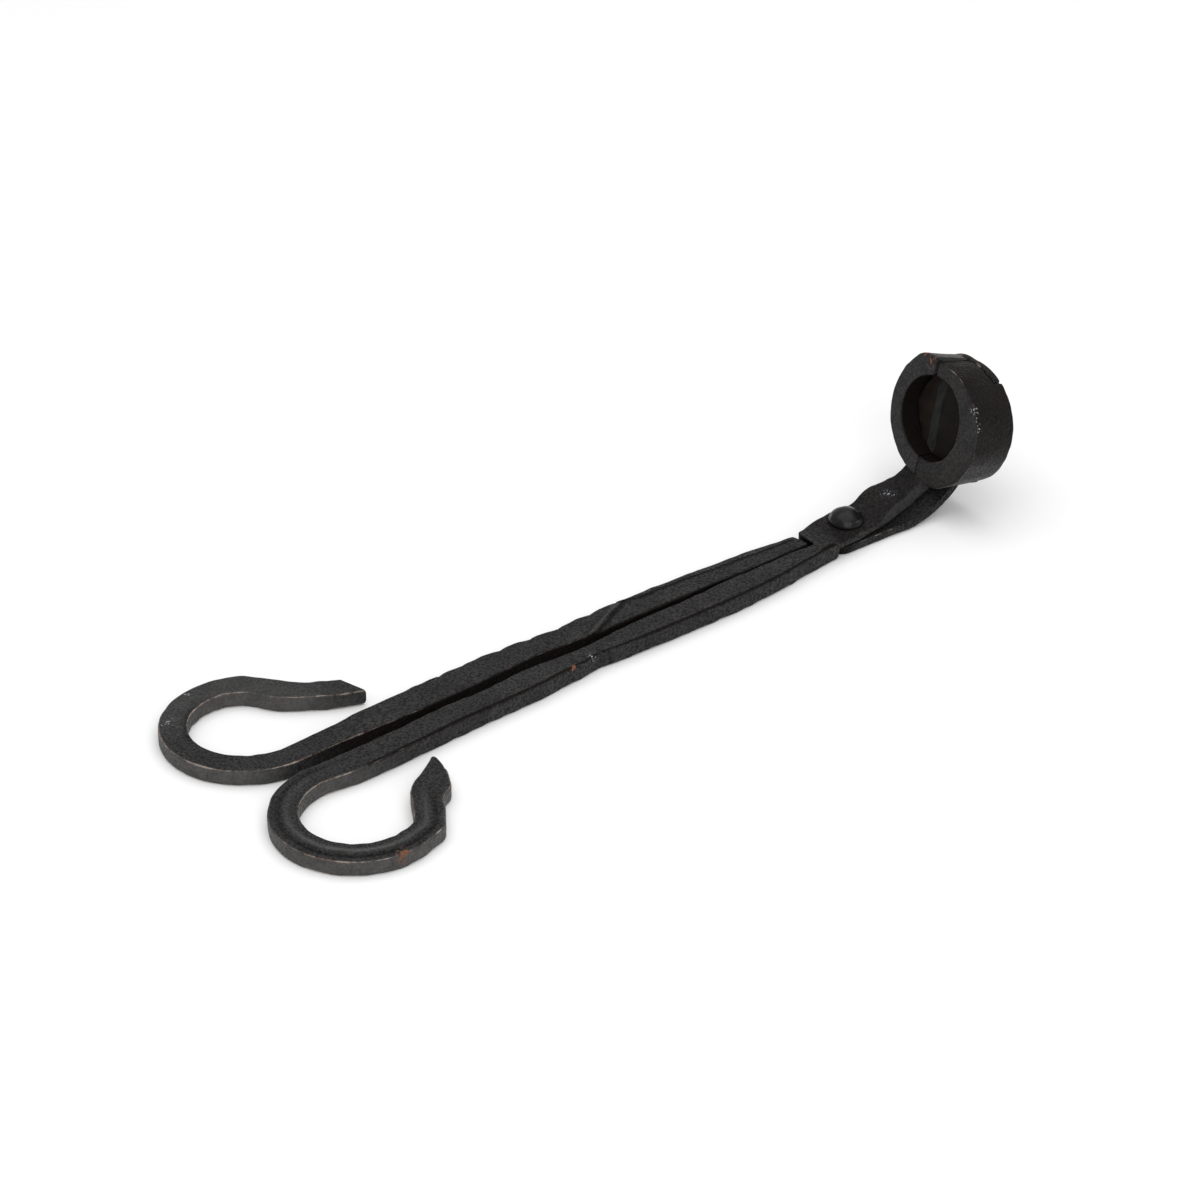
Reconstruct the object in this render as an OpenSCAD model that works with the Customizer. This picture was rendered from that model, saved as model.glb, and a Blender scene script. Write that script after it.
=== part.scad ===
// Forged iron wick trimmer: two half-lapped arms on one rivet, each ending in a finger loop at
// one end and in half of a round cup at the other. The blades inside the cup cut the wick.
//
// Frame: the rivet's axis is Z, and z = 0 is the underside that lies on a table. +X runs from
// the pivot to the cup, -X to the finger loops, and +Y is left when looking towards the cup.

/* [Handles] */
// Distance from the pivot to the start of the lower arm's finger loop
handle_len = 143.5; // [115:0.5:180]
// How much further back the upper arm's loop starts
loop_stagger = 1.4; // [0:0.1:5]
// Thickness of both bars, top to bottom
bar_t = 4.1; // [3.4:0.1:5.6]
// Width of the bar round the finger loops
bar_w = 6.2; // [4.8:0.1:8]
// Width of the lower arm's handle at its widest
lower_handle_w = 7.8; // [6.2:0.1:9.6]
// Width of the lower arm at its shoulder, next to the pivot
lower_shoulder_w = 4.9; // [4:0.1:6.5]
// Width of the upper arm's handle
upper_handle_w = 6.6; // [5.2:0.1:8]
// Width of the upper arm where it was drawn thinnest, half way along
upper_waist_w = 5.3; // [4.2:0.1:6.6]
// Gap between the closed handles where the loops start
handle_gap = 2.7; // [1:0.1:6]
// Gap between the closed handles next to the pivot
closed_gap = 0.3; // [0.2:0.05:0.8]

/* [Finger loops] */
// Radius of the middle line of each loop
loop_r = 14.8; // [11.5:0.1:18]
// How far the bar curls round each loop, in degrees
loop_turn = 242; // [225:1:250]
// Radius of the flare at the loop's open end
flare_r = 17.7; // [12:0.1:24]
// How far the flare bends back, in degrees
flare_turn = 48; // [20:1:60]

/* [Pivot] */
// Diameter of the rivet's shank
rivet_d = 4; // [3:0.1:5]
// Diameter of the rivet's domed head
rivet_head_d = 7.8; // [6.4:0.1:9.6]
// Height of the rivet's domed head
rivet_head_h = 3; // [1.6:0.1:3.8]
// Diameter of the rivet's tail, hammered flush into its countersink
rivet_tail_d = 5.6; // [5.2:0.1:7]
// Running clearance between the shank and the upper arm's hole, on the radius
rivet_clear = 0.05; // [0.02:0.01:0.1]
// Width of the pad that each arm is flattened to round the rivet
pad_w = 10.9; // [9:0.1:13.5]
// Distance from the pivot to the lower arm's shoulder
shoulder_x = 12.3; // [12:0.1:16]
// Gap between the two half-laps
lap_gap = 0.1; // [0.05:0.01:0.2]

/* [Necks] */
// Width of each neck where it meets the cup
neck_w = 6.2; // [5:0.1:7.4]
// Distance from the pivot to where the necks start to bend up
neck_x = 12; // [10.5:0.1:14]
// Radius of the lower neck's underside
neck_r = 22; // [18.5:0.1:26]
// Thickness of the upper neck
upper_neck_t = 4; // [3:0.1:5]
// Gap between the two necks along their bend
neck_gap = 0.35; // [0.3:0.05:0.8]

/* [Cup] */
// Outer diameter of the closed cup
cup_d = 28; // [23.5:0.1:34]
// Thickness of the cup's wall
cup_wall = 4.5; // [3.4:0.1:5.4]
// Depth of each half-ring, front to back
cup_depth = 9; // [8.6:0.1:11]
// Lean of the cup's mouth, in degrees
cup_tilt = 12; // [6:0.5:16]
// Distance from the pivot to the lowest point of the mouth
cup_reach = 19.5; // [18:0.1:22]
// Height of the lowest point of the mouth above the table
cup_lift = 8.1; // [7.4:0.1:10]
// How far the ring's centre lies to the right of the seam
cup_offset = 1.7; // [0:0.1:2.5]
// How far the right half's outside sits below the bore, which leaves it thin at the top
right_drop = 1.2; // [0:0.1:1.6]
// How far the left half's outside sits above the bore, which leaves it thick at the top
left_rise = 0.5; // [0:0.1:1]
// Gap between the closed cup halves along the seam
seam_gap = 0.3; // [0.2:0.05:0.8]

/* [Blades] */
// Thickness of each blade
blade_t = 1.2; // [0.8:0.1:1.4]
// Depth of the right blade's face behind the mouth
blade_inset = 3.5; // [2.5:0.1:4]
// Gap between the two blades
blade_gap = 0.25; // [0.2:0.05:0.5]
// How far each blade's cutting edge passes the seam
blade_overlap = 2.6; // [1:0.1:3]
// Thickness of the back plate
back_t = 2.2; // [1.5:0.1:3]
// How far the back plate stands proud of the right half, on the radius
back_lip = 0.4; // [0:0.1:0.8]
// How far the back plate passes the seam, behind the right half
back_overlap = 8.4; // [5:0.1:10]

/* [Hidden] */
$fn = 96;
iron = "#2c2b2b";
worn_iron = "#3a3836";
blade_steel = "#55504a";

// Length that carries a cutter or a crossing solid clear of what it meets
past = 60;
// Clearance between pieces that swing past each other
swing_clear = 0.35;
// Middle line of the gap between the closed handles, at the loops and at the pivot
mid_y_loop = -1.65;
mid_y_pivot = -2.1;
// Where the inner edges of the handles come closest
close_x = -28;

lap_t = (bar_t - lap_gap) / 2;
upper_z = lap_t + lap_gap;
pad_r = pad_w / 2;
cup_r = cup_d / 2;
bore_r = cup_r - cup_wall;
// Radius about the pivot that the upper arm's handle keeps clear of, below its pad
lap_clear_r = pad_r + 2.6;
upper_len = handle_len + loop_stagger;
lower_inner_y = mid_y_loop + handle_gap / 2;
upper_inner_y = mid_y_loop - handle_gap / 2;
lower_pivot_y = mid_y_pivot + closed_gap / 2;
upper_pivot_y = mid_y_pivot - closed_gap / 2;
right_edge_y = -neck_w - swing_clear;

tail_h = 0.45 * lap_t;
// The gap in front of the pad's shoulder shows as a dark notch
shoulder_gap = 1.3;
neck_left_y = neck_w / 2 + 0.6;
// Where the upper arm starts to thicken into its neck, clear of the rivet's head
thicken_x = rivet_head_d / 2 + 0.5;
// How far the upper handle's outer edge lies from the gap where it meets the pad
shoulder_drop = 0.7 * upper_handle_w;
curl_steps = 60;
flare_steps = 12;

// Depths behind the mouth
left_blade_x = blade_inset + blade_t + blade_gap;
left_depth = cup_depth + swing_clear;

// A quadratic curve through a and c, pulled towards b
function curve(a, b, c, steps = 12) =
  [for (i = [0 : steps]) let (t = i / steps)
    (1 - t) * (1 - t) * a + 2 * t * (1 - t) * b + t * t * c];

// Puts its children in the cup's frame: x runs into the cup from the mouth, z up across it
module at_cup()
  translate([cup_reach, 0, cup_lift]) rotate([0, cup_tilt, 0]) translate([0, 0, cup_r])
    children();

// A round bar along the cup's axis, from depth x over length l, raised by up
module cup_round(r, x, l, up = 0)
  translate([x, -cup_offset, up]) rotate([0, 90, 0]) cylinder(r = r, h = l);

// The outside of one half: side is 1 for the left half, which stands taller than the bore's
// centre, and -1 for the right half, which hangs below it
module cup_outside(side, x, l, grow = 0)
  cup_round(cup_r + grow, x, l, side > 0 ? left_rise : -right_drop);

// Everything from y0 towards side (1 is left, -1 is right) in the cup's frame
module half_space(side, y0) {
  shift = side > 0 ? y0 : y0 - past;
  translate([-past, shift, -past]) cube([2 * past, past, 2 * past]);
}

// One side of the bar where it curls round a finger and flares at its end. The handle ends at
// the origin, and side is 1 for the outside of the curl and -1 for the inside.
function loop_side(side) =
  let (
    end_a = 270 - loop_turn,
    r = loop_r + side * bar_w / 2,
    flare_side_r = flare_r - side * bar_w / 2,
    curl = [for (i = [0 : curl_steps]) let (a = 270 - loop_turn * i / curl_steps)
             [r * cos(a), loop_r + r * sin(a)]],
    centre = [(loop_r + flare_r) * cos(end_a), loop_r + (loop_r + flare_r) * sin(end_a)],
    flare = [for (i = [1 : flare_steps]) let (a = end_a + 180 + flare_turn * i / flare_steps)
              centre + flare_side_r * [cos(a), sin(a)]])
  concat(curl, flare);

// Both sides of the loop in order round its outline, from the outside to the inside
function loop_outline() =
  let (inside = loop_side(-1), last = len(inside) - 1)
  concat(loop_side(1), [for (i = [last : -1 : 0]) inside[i]]);

// Outline of the lower arm's handle, from its finger loop to the shoulder
module lower_handle_outline()
  polygon([
    [-shoulder_x, lower_pivot_y],
    [close_x, lower_pivot_y],
    for (p = loop_outline()) p + [-handle_len, lower_inner_y + bar_w / 2],
    [-0.7 * handle_len, lower_inner_y + lower_handle_w - 0.2],
    [-0.4 * handle_len, lower_pivot_y + (lower_shoulder_w + lower_handle_w) / 2 + 1],
    [-shoulder_x, lower_pivot_y + lower_shoulder_w],
  ]);

// Outline of the lower arm's half-lap, from inside the handle to the start of the neck
module lower_lap_outline()
  polygon([
    [-shoulder_x - 3, lower_pivot_y],
    [-pad_r - 2, lower_pivot_y],
    for (p = curve([-pad_r + 0.2, lower_pivot_y - 2], [-pad_r, -pad_r - 0.4], [0, -pad_r - 0.3])) p,
    [neck_x, right_edge_y],
    [neck_x, -swing_clear],
    for (p = curve([neck_x - 5, pad_r - 2], [1, pad_r], [-pad_r, pad_r - 1])) p,
    [-shoulder_x, lower_pivot_y + lower_shoulder_w],
    [-shoulder_x - 3, lower_pivot_y + lower_shoulder_w],
  ]);

// The lower neck bends up on an arc and is cut to the right half-ring's outer face
module lower_neck()
  difference() {
    intersection() {
      translate([neck_x, 0, neck_r]) rotate([90, 0, 0]) rotate([0, 0, -90])
        translate([0, 0, -past]) difference() {
          cylinder(r = neck_r, h = 2 * past);
          translate([0, 0, -1]) cylinder(r = neck_r - lap_t, h = 2 * past + 2);
        }
      translate([neck_x, right_edge_y, 0]) cube([neck_r, neck_w, neck_r]);
    }
    at_cup() cup_outside(-1, -past, 2 * past);
    at_cup() half_space(1, -swing_clear);
  }

// The arm with the left handle, below the other at the pivot
module lower_arm()
  color(iron)
    difference() {
      union() {
        linear_extrude(bar_t) lower_handle_outline();
        linear_extrude(lap_t) lower_lap_outline();
        lower_neck();
      }
      translate([0, 0, -1]) cylinder(d = rivet_d, h = bar_t + 2);
      cylinder(d1 = rivet_tail_d, d2 = rivet_d, h = tail_h);
    }

// Outline of the upper arm's handle, from its finger loop to the half-lap
module upper_handle_outline()
  polygon([
    [0, upper_pivot_y],
    [close_x, upper_pivot_y],
    for (p = loop_outline()) [p[0] - upper_len, upper_inner_y - bar_w / 2 - p[1]],
    [-0.65 * upper_len, upper_inner_y - upper_handle_w],
    [-0.5 * upper_len, upper_inner_y - upper_waist_w],
    [-0.36 * upper_len, upper_pivot_y - upper_handle_w],
    [close_x, upper_pivot_y - upper_handle_w],
    [-shoulder_x, upper_pivot_y - shoulder_drop],
    [0, -pad_r - 0.3],
  ]);

// Outline of the upper arm's pad and neck
module pad_outline()
  polygon([
    [-shoulder_x - 2, upper_pivot_y],
    [-shoulder_x + shoulder_gap, upper_pivot_y],
    [-shoulder_x + shoulder_gap, pad_r - 2.7],
    for (p = curve([-pad_r - 4, pad_r - 1.9], [-pad_r + 1, pad_r - 0.3], [1, pad_r - 0.3])) p,
    for (p = curve([5, pad_r - 0.3], [neck_x, pad_r - 0.4], [neck_x + 5, neck_left_y])) p,
    [cup_reach + past, neck_left_y],
    [cup_reach + past, neck_left_y - neck_w],
    for (p = curve([neck_x + 5, neck_left_y - neck_w], [7, -pad_r + 1], [-1, -pad_r - 0.3])) p,
    [-pad_r - 1, -pad_r - 0.45],
    [-shoulder_x, upper_pivot_y - shoulder_drop],
    [-shoulder_x - 2, upper_pivot_y - shoulder_drop],
  ]);

// Side view of the upper neck: it thickens behind the pad and bends up beside the lower one
module upper_neck_side() {
  under_r = neck_r - lap_t - neck_gap;
  top_r = under_r - upper_neck_t;
  arc = [for (a = [0 : 5 : 60]) [neck_x + under_r * sin(a), neck_r - under_r * cos(a)]];
  top = curve([cup_reach + 2, neck_r - top_r * cos(45)], [neck_x + 3, upper_z + lap_t + 0.8],
              [thicken_x, upper_z + lap_t]);
  polygon(concat([[thicken_x, upper_z], [neck_x - 2, upper_z]], arc,
                 [[cup_reach + 10, cup_lift + 6]], top));
}

module upper_neck()
  difference() {
    intersection() {
      translate([0, past, 0]) rotate([90, 0, 0]) linear_extrude(2 * past) upper_neck_side();
      linear_extrude(past) pad_outline();
    }
    at_cup() cup_outside(1, -past, 2 * past);
    at_cup() intersection() {
      cup_outside(-1, -past, 2 * past, swing_clear);
      half_space(-1, swing_clear);
    }
  }

// The arm with the right handle, above the other at the pivot
module upper_arm()
  color(iron)
    difference() {
      union() {
        difference() {
          linear_extrude(bar_t) upper_handle_outline();
          translate([0, 0, -1]) cylinder(r = lap_clear_r, h = upper_z + 1);
        }
        translate([0, 0, upper_z]) linear_extrude(lap_t) intersection() {
          pad_outline();
          translate([-past, -past]) square([past + neck_x - 1, 2 * past]);
        }
        upper_neck();
      }
      translate([0, 0, -1]) cylinder(r = rivet_d / 2 + rivet_clear, h = bar_t + 4);
    }

// One rivet: tail filling the countersink, shank, and a domed head over the pad
module pivot_rivet() {
  dome_r = (pow(rivet_head_d / 2, 2) + pow(rivet_head_h, 2)) / (2 * rivet_head_h);
  head_z = bar_t + rivet_clear;
  color(worn_iron) union() {
    cylinder(d1 = rivet_tail_d, d2 = rivet_d, h = tail_h);
    cylinder(d = rivet_d, h = head_z + 0.5);
    intersection() {
      translate([0, 0, head_z + rivet_head_h - dome_r]) sphere(r = dome_r);
      translate([0, 0, head_z]) cylinder(d = rivet_head_d + 1, h = rivet_head_h + 1);
    }
  }
}

// Half of the thick ring; side is 1 for the left half and -1 for the right
module half_ring(side, depth)
  intersection() {
    difference() {
      cup_outside(side, 0, depth);
      cup_round(bore_r, -1, depth + 2);
    }
    half_space(side, side * seam_gap / 2);
  }

// The right half reaches as far back as the plate does, where the plate leaves room for it
module right_cup_half()
  color(iron) at_cup() union() {
    half_ring(-1, cup_depth);
    intersection() {
      half_ring(-1, left_depth + back_t);
      half_space(-1, -back_overlap - seam_gap);
    }
  }

module left_cup_half() color(iron) at_cup() half_ring(1, left_depth);

// A blade fills its own half of the bore, and its cutting edge passes the seam by the overlap
module blade(side, x)
  at_cup() union() {
    intersection() {
      cup_round(bore_r, x, blade_t);
      half_space(side, side * seam_gap / 2);
    }
    intersection() {
      cup_round(bore_r - swing_clear, x, blade_t);
      half_space(side, -side * blade_overlap);
      half_space(-side, side * (seam_gap / 2 + 1));
    }
  }

module right_blade() color(blade_steel) blade(-1, blade_inset);
module left_blade() color(blade_steel) blade(1, left_blade_x);

// The plate closing the back of the cup, fixed to the left half. It keeps to the outside of
// the half in front of it, standing proud of the right one, and ends behind the right half.
module back_plate()
  color(iron) at_cup()
    union() {
      intersection() {
        cup_outside(1, left_depth, back_t);
        half_space(1, 0);
      }
      intersection() {
        cup_outside(-1, left_depth, back_t, back_lip);
        half_space(-1, 0.01);
        half_space(1, -back_overlap);
      }
    }

lower_arm();
upper_arm();
pivot_rivet();
right_cup_half();
left_cup_half();
right_blade();
left_blade();
back_plate();
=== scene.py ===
import math

import bpy
import numpy as np
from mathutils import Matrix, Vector


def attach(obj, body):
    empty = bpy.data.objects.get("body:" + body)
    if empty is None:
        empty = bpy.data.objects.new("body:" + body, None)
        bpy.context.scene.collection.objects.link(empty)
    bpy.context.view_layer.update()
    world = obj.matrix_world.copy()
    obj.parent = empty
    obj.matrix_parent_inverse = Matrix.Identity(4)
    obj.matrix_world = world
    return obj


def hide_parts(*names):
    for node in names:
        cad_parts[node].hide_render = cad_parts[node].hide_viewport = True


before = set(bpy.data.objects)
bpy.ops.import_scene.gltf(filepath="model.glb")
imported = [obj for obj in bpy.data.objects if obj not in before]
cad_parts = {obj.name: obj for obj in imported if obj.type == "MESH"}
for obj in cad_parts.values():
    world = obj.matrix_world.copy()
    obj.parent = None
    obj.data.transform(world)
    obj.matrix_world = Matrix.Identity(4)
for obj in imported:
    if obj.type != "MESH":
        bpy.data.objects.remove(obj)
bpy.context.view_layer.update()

# ------------------------------------------------------------------------------ lower arm
# One flat wrought iron bar. Its end is curled into the left finger loop, the handle is drawn
# out under the hammer, and past the rivet it is halved to 2 mm, swept up and welded to the cup.


def lumps(points, size, seed):
    """Smooth random lumps of about the given size in mm, from -1 to 1: random numbers sit on a
    cubic lattice, and a point blends the eight around it by 3f^2 - 2f^3 along each axis."""
    q = np.asarray(points, float) / size
    cell = np.floor(q).astype(np.int64)
    f = q - cell
    f = f * f * (3 - 2 * f)
    table = np.random.default_rng(seed).uniform(-1, 1, 4096)
    total = 0
    for corner in np.ndindex(2, 2, 2):
        c = cell + np.array(corner)
        key = (c[..., 0] * 73856093) ^ (c[..., 1] * 19349663) ^ (c[..., 2] * 83492791)
        weight = np.prod(np.where(np.array(corner) == 1, f, 1 - f), axis=-1)
        total = total + weight * table[key % 4096]
    return total


def bump_at(x, centre, width):
    """A single rounded hump of height 1: exp of minus the squared distance over the width."""
    return np.exp(-(((x - centre) / width) ** 2))


def step_between(x, start, end):
    """0 before start, 1 after end, and t^2 (3 - 2t) between them."""
    t = np.clip((x - start) / (end - start), 0, 1)
    return t * t * (3 - 2 * t)


def curl(start, arcs, side, half_width, count):
    """Both edges of a bar curled round a finger, from the handle to its open end. The arcs are
    laid end to end: the heading turns by distance over radius, smoothed where two arcs meet, the
    middle line is the running sum of the heading's steps, and each edge lies half the width to
    one side of it."""
    radius, angle = np.array(arcs, float).T
    length = radius * np.radians(np.abs(angle))
    s = np.linspace(0, length.sum(), count * 16)
    which = np.minimum(np.searchsorted(np.cumsum(length), s, side="right"), len(arcs) - 1)
    turn = np.sign(angle)[which] / radius[which]
    blend = 25
    turn = np.convolve(np.pad(turn, blend // 2, mode="edge"), np.full(blend, 1 / blend), "valid")
    ds = s[1] - s[0]
    heading = math.pi - (np.cumsum(turn) - turn[0]) * ds
    along = np.stack([np.cos(heading), side * np.sin(heading)], 1)
    across = np.stack([np.sin(heading), -side * np.cos(heading)], 1) * side
    middle = np.array(start, float) + np.vstack([[0, 0], np.cumsum(along[:-1] * ds, 0)])
    both = np.hstack([middle + half_width * across, middle - half_width * across])
    return both[:: len(s) // count]


def through(rows, spacing, end_round):
    """A Catmull-Rom curve through rows of left edge x, y and right edge x, y, cut at equal steps
    along its middle line, with closer steps in the rounded corner at each end."""
    per_row, corner_steps = 30, 7
    p = np.vstack([2 * rows[0] - rows[1], rows, 2 * rows[-1] - rows[-2]])
    t = np.linspace(0, len(rows) - 1, (len(rows) - 1) * per_row + 1)
    i = np.minimum(t.astype(int), len(rows) - 2)
    f = (t - i)[:, None]
    a, b, c, d = p[i], p[i + 1], p[i + 2], p[i + 3]
    fine = 0.5 * (2 * b + (c - a) * f + (2 * a - 5 * b + 4 * c - d) * f**2
                  + (3 * b - a - 3 * c + d) * f**3)
    middle = (fine[:, :2] + fine[:, 2:]) / 2
    run = np.concatenate([[0], np.cumsum(np.linalg.norm(np.diff(middle, axis=0), axis=1))])
    close = end_round * (1 - np.cos(np.linspace(0, math.pi / 2, corner_steps)))
    s = np.concatenate([close, np.arange(end_round + spacing, run[-1] - end_round, spacing),
                        run[-1] - close[::-1]])
    edges = np.stack([np.interp(s, run, fine[:, k]) for k in range(4)], 1)
    return s, run[-1], edges


def round_section(n_top, n_side, n_corner):
    """A rectangle with quarter-round corners, once round from the left face: where each point
    lies between the corners' centres, across and up, and which way it faces, in radians."""
    quarter = np.linspace(0, math.pi / 2, n_corner)
    across, up, facing = [], [], []
    for k, (cu, cv) in enumerate([(1, 1), (-1, 1), (-1, -1), (1, -1)]):
        nu, nv = [(-1, 1), (-1, -1), (1, -1), (1, 1)][k]
        n = n_top if k % 2 == 0 else n_side
        t = np.linspace(0, 1, n + 2)[1:-1]
        across += [np.full(n_corner, cu), cu + (nu - cu) * t]
        up += [np.full(n_corner, cv), cv + (nv - cv) * t]
        facing += [quarter + k * math.pi / 2, np.full(n, (k + 1) * math.pi / 2)]
    return np.concatenate(across), np.concatenate(up), np.concatenate(facing)


def skin(name, rings, wear, soot_and_shading, body):
    """A closed skin over rings of points in mm: quads between neighbouring rings, and a fan to
    the middle of the first and the last ring. Two attributes say how rubbed each point is, and
    how much sootiness and painted shade darken it, or, where that one is below zero, how much
    finger burnish and painted light lift it."""
    n, m = rings.shape[:2]
    i, j = np.meshgrid(np.arange(n - 1), np.arange(m), indexing="ij")
    k = (j + 1) % m
    quads = np.stack([i * m + j, i * m + k, (i + 1) * m + k, (i + 1) * m + j], -1).reshape(-1, 4)
    j = np.arange(m)
    k = (j + 1) % m
    first = np.stack([np.full(m, n * m), k, j], 1)
    last = np.stack([np.full(m, n * m + 1), (n - 1) * m + j, (n - 1) * m + k], 1)
    points = np.vstack([rings.reshape(-1, 3), rings[0].mean(0), rings[-1].mean(0)]) / 1000
    mesh = bpy.data.meshes.new(name)
    mesh.from_pydata(points, [], quads.tolist() + first.tolist() + last.tolist())
    mesh.shade_smooth()
    for kind, amount in (("wear", wear), ("soot_and_shading", np.broadcast_to(soot_and_shading, wear.shape))):
        values = np.append(amount.ravel(), [0, 0]).astype(np.float32)
        mesh.attributes.new(kind, "FLOAT", "POINT").data.foreach_set("value", values)
    piece = bpy.data.objects.new(name, mesh)
    bpy.context.scene.collection.objects.link(piece)
    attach(piece, body)
    return piece


def corner_radius(s, cu, cv):
    """Radius of a bar's long edges: crisp on the right, softer on the left and underneath."""
    base = 0.5 + 0.25 * (cv < 0) + 0.1 * (cu > 0)
    return np.broadcast_to(base, (len(s), len(cu)))


def forge_bar(rows, low, high, relief, stain_and_shading, seed):
    """The rings of a forged bar. Each ring is a round-cornered rectangle between the two edges
    and between the low and high faces, moved by the relief on top and by hammer lumps all over.
    Those functions get x and y in plan, s along the bar from its loop's open end, and across,
    which runs from -1 at the right edge to 1 at the left one."""
    spacing, end_round = 0.3, 0.5
    s, total, edges = through(rows, spacing, end_round)
    left, right = edges[:, :2], edges[:, 2:]
    middle = (left + right) / 2
    width = np.linalg.norm(left - right, axis=1)
    side = (left - right) / width[:, None]
    x, y = middle.T
    z_low = low(x, y, s)[:, None]
    height = high(x, y, s)[:, None] - z_low
    short = np.maximum(end_round - np.minimum(s, total - s), 0)
    inset = (end_round - np.sqrt(np.maximum(end_round**2 - short**2, 0)))[:, None]
    cu, cv, facing = round_section(26, 9, 5)
    uneven = 1 + 0.35 * lumps(np.stack([s, s * 0, s * 0 + 9], 1), 2.2, seed)[:, None]
    r = corner_radius(s, cu, cv) * uneven
    r = np.minimum(r, 0.42 * height)
    half_width = (width / 2)[:, None]
    u = cu * (half_width - inset) + r * (np.cos(facing) - cu)
    v = cv * (height / 2 - inset) + r * (np.sin(facing) - cv)
    plan = middle[:, None, :] + side[:, None, :] * u[..., None]
    across = u / half_width
    top = height + relief(plan[..., 0], plan[..., 1], across, s[:, None])
    z = z_low + (v / height + 0.5) * top
    points = np.concatenate([plan, z[..., None]], -1)
    blows = (0.075 * lumps(points * [1, 1, 0.6], 5.5, seed + 1)
             + 0.04 * lumps(points, 2.1, seed + 2) + 0.014 * lumps(points, 0.7, seed + 3))
    outward = np.concatenate([side[:, None, :] * np.cos(facing)[None, :, None],
                              np.broadcast_to(np.sin(facing)[None, :, None], u.shape + (1,))], -1)
    points = points + outward * blows[..., None]
    points[..., 2] = np.maximum(points[..., 2], z_low)
    corner = np.abs(np.sin(2 * facing)) ** 2
    in_hand = 0.55 + 0.45 * (1 - step_between(s, 90, 120))
    wear = corner[None, :] * in_hand[:, None] * (0.8 + 0.45 * lumps(points, 8.0, seed + 4))
    # soot and polish, with painted shade and painted light, from the arm's stain and shading
    # function
    soot_and_shading = stain_and_shading(points[..., 0], points[..., 1], across, s[:, None], facing[None, :])
    return points, wear, soot_and_shading


def sweep_up(points, start, radius):
    """Wraps the part past start round a horizontal axis above it: distance along becomes an
    angle, and height above the underside shortens the radius."""
    x, z = points[..., 0], points[..., 2]
    a = np.maximum(x - start, 0) / radius
    past = x > start
    bent = points.copy()
    bent[..., 0] = np.where(past, start + (radius - z) * np.sin(a), x)
    bent[..., 2] = np.where(past, radius - (radius - z) * np.cos(a), z)
    return bent


# thickness of the handles, the loops and the halved lap, then where the neck starts to sweep up
# and on what radius
BAR_T, LOOP_T, LAP_T = 4.1, 3.7, 2.0
NECK_START, NECK_RADIUS = 12.0, 22.0

left_curl = curl((-143.2, 2.78), [(15.6, 61), (14.2, 104), (15.2, 38)], 1, 2.95, 24)
left_flare = np.array([
    [-137.4, 26.2, -135.3, 32.5], [-135.6, 23.0, -132.4, 29.4], [-133.7, 20.7, -130.1, 26.2],
    [-130.6, 18.2, -127.4, 23.1], [-127.1, 16.0, -124.4, 21.0], [-123.4, 13.9, -122.0, 19.6],
    [-118.2, 11.9, -120.2, 18.6]])
lower_edges = np.array([
    [-134, 6.0, -134, -0.2], [-119, 6.55, -119, -1.0], [-103, 6.85, -103, -0.9],
    [-92, 6.85, -92, -0.4], [-82, 6.35, -82, 0.0], [-74.4, 5.75, -74.4, -0.6],
    [-66, 6.0, -66, -0.95], [-52, 6.1, -52, -1.15], [-36.6, 5.25, -36.6, -1.49],
    [-28.3, 4.75, -28.3, -1.86], [-20.9, 4.0, -20, -1.93], [-13.2, 2.95, -12.6, -1.95],
    [-11.6, 3.0, -9.4, -1.95], [-9, 3.7, -7.4, -2.3], [-7, 4.2, -6.3, -4.0],
    [-4.6, 4.6, -4.6, -5.5], [-1, 4.95, -1, -5.75], [3, 4.7, 3, -5.85], [7, 3.3, 7, -6.0],
    [10, 1.0, 10, -6.25], [12.2, -0.4, 12.2, -6.45], [16, -0.45, 16, -6.5],
    [22, -0.45, 22, -6.5], [28.6, -0.45, 28.6, -6.5]])
lower_rows = np.vstack([left_flare[::-1], left_curl[::-1], lower_edges])
NOTCHES = [-104.5, -98.3, -88.8, -81.3, -74.4, -65.9, -58.5]


def lower_low(x, y, s):
    """The underside lies flat on the table."""
    return np.zeros_like(x)


def lower_high(x, y, s):
    """Loop, handle, then down the shoulder to half thickness."""
    handle = LOOP_T + (BAR_T - LOOP_T) * step_between(x, -140, -120)
    handle = np.where(s < 75, np.minimum(handle, LOOP_T + 0.1 * np.sin(s / 9)), handle)
    return handle + (LAP_T - handle) * step_between(x, -12.6, -12.2) * (s > 75)


def facet_line(x):
    """Where the facet along the lower handle's left edge starts, in y."""
    return np.interp(x, [-60, -53.4, -42.9, -32.8, -22.6, -17.2, -13],
                     [6, 4.16, 3.77, 2.77, 1.9, 1.6, 1.5])


def past_fold(x, y):
    """Distance towards the rivet from the slanting fold across the lower handle."""
    return (x + 72.3) * 0.45 - (y + 1.6) * 0.893


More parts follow.
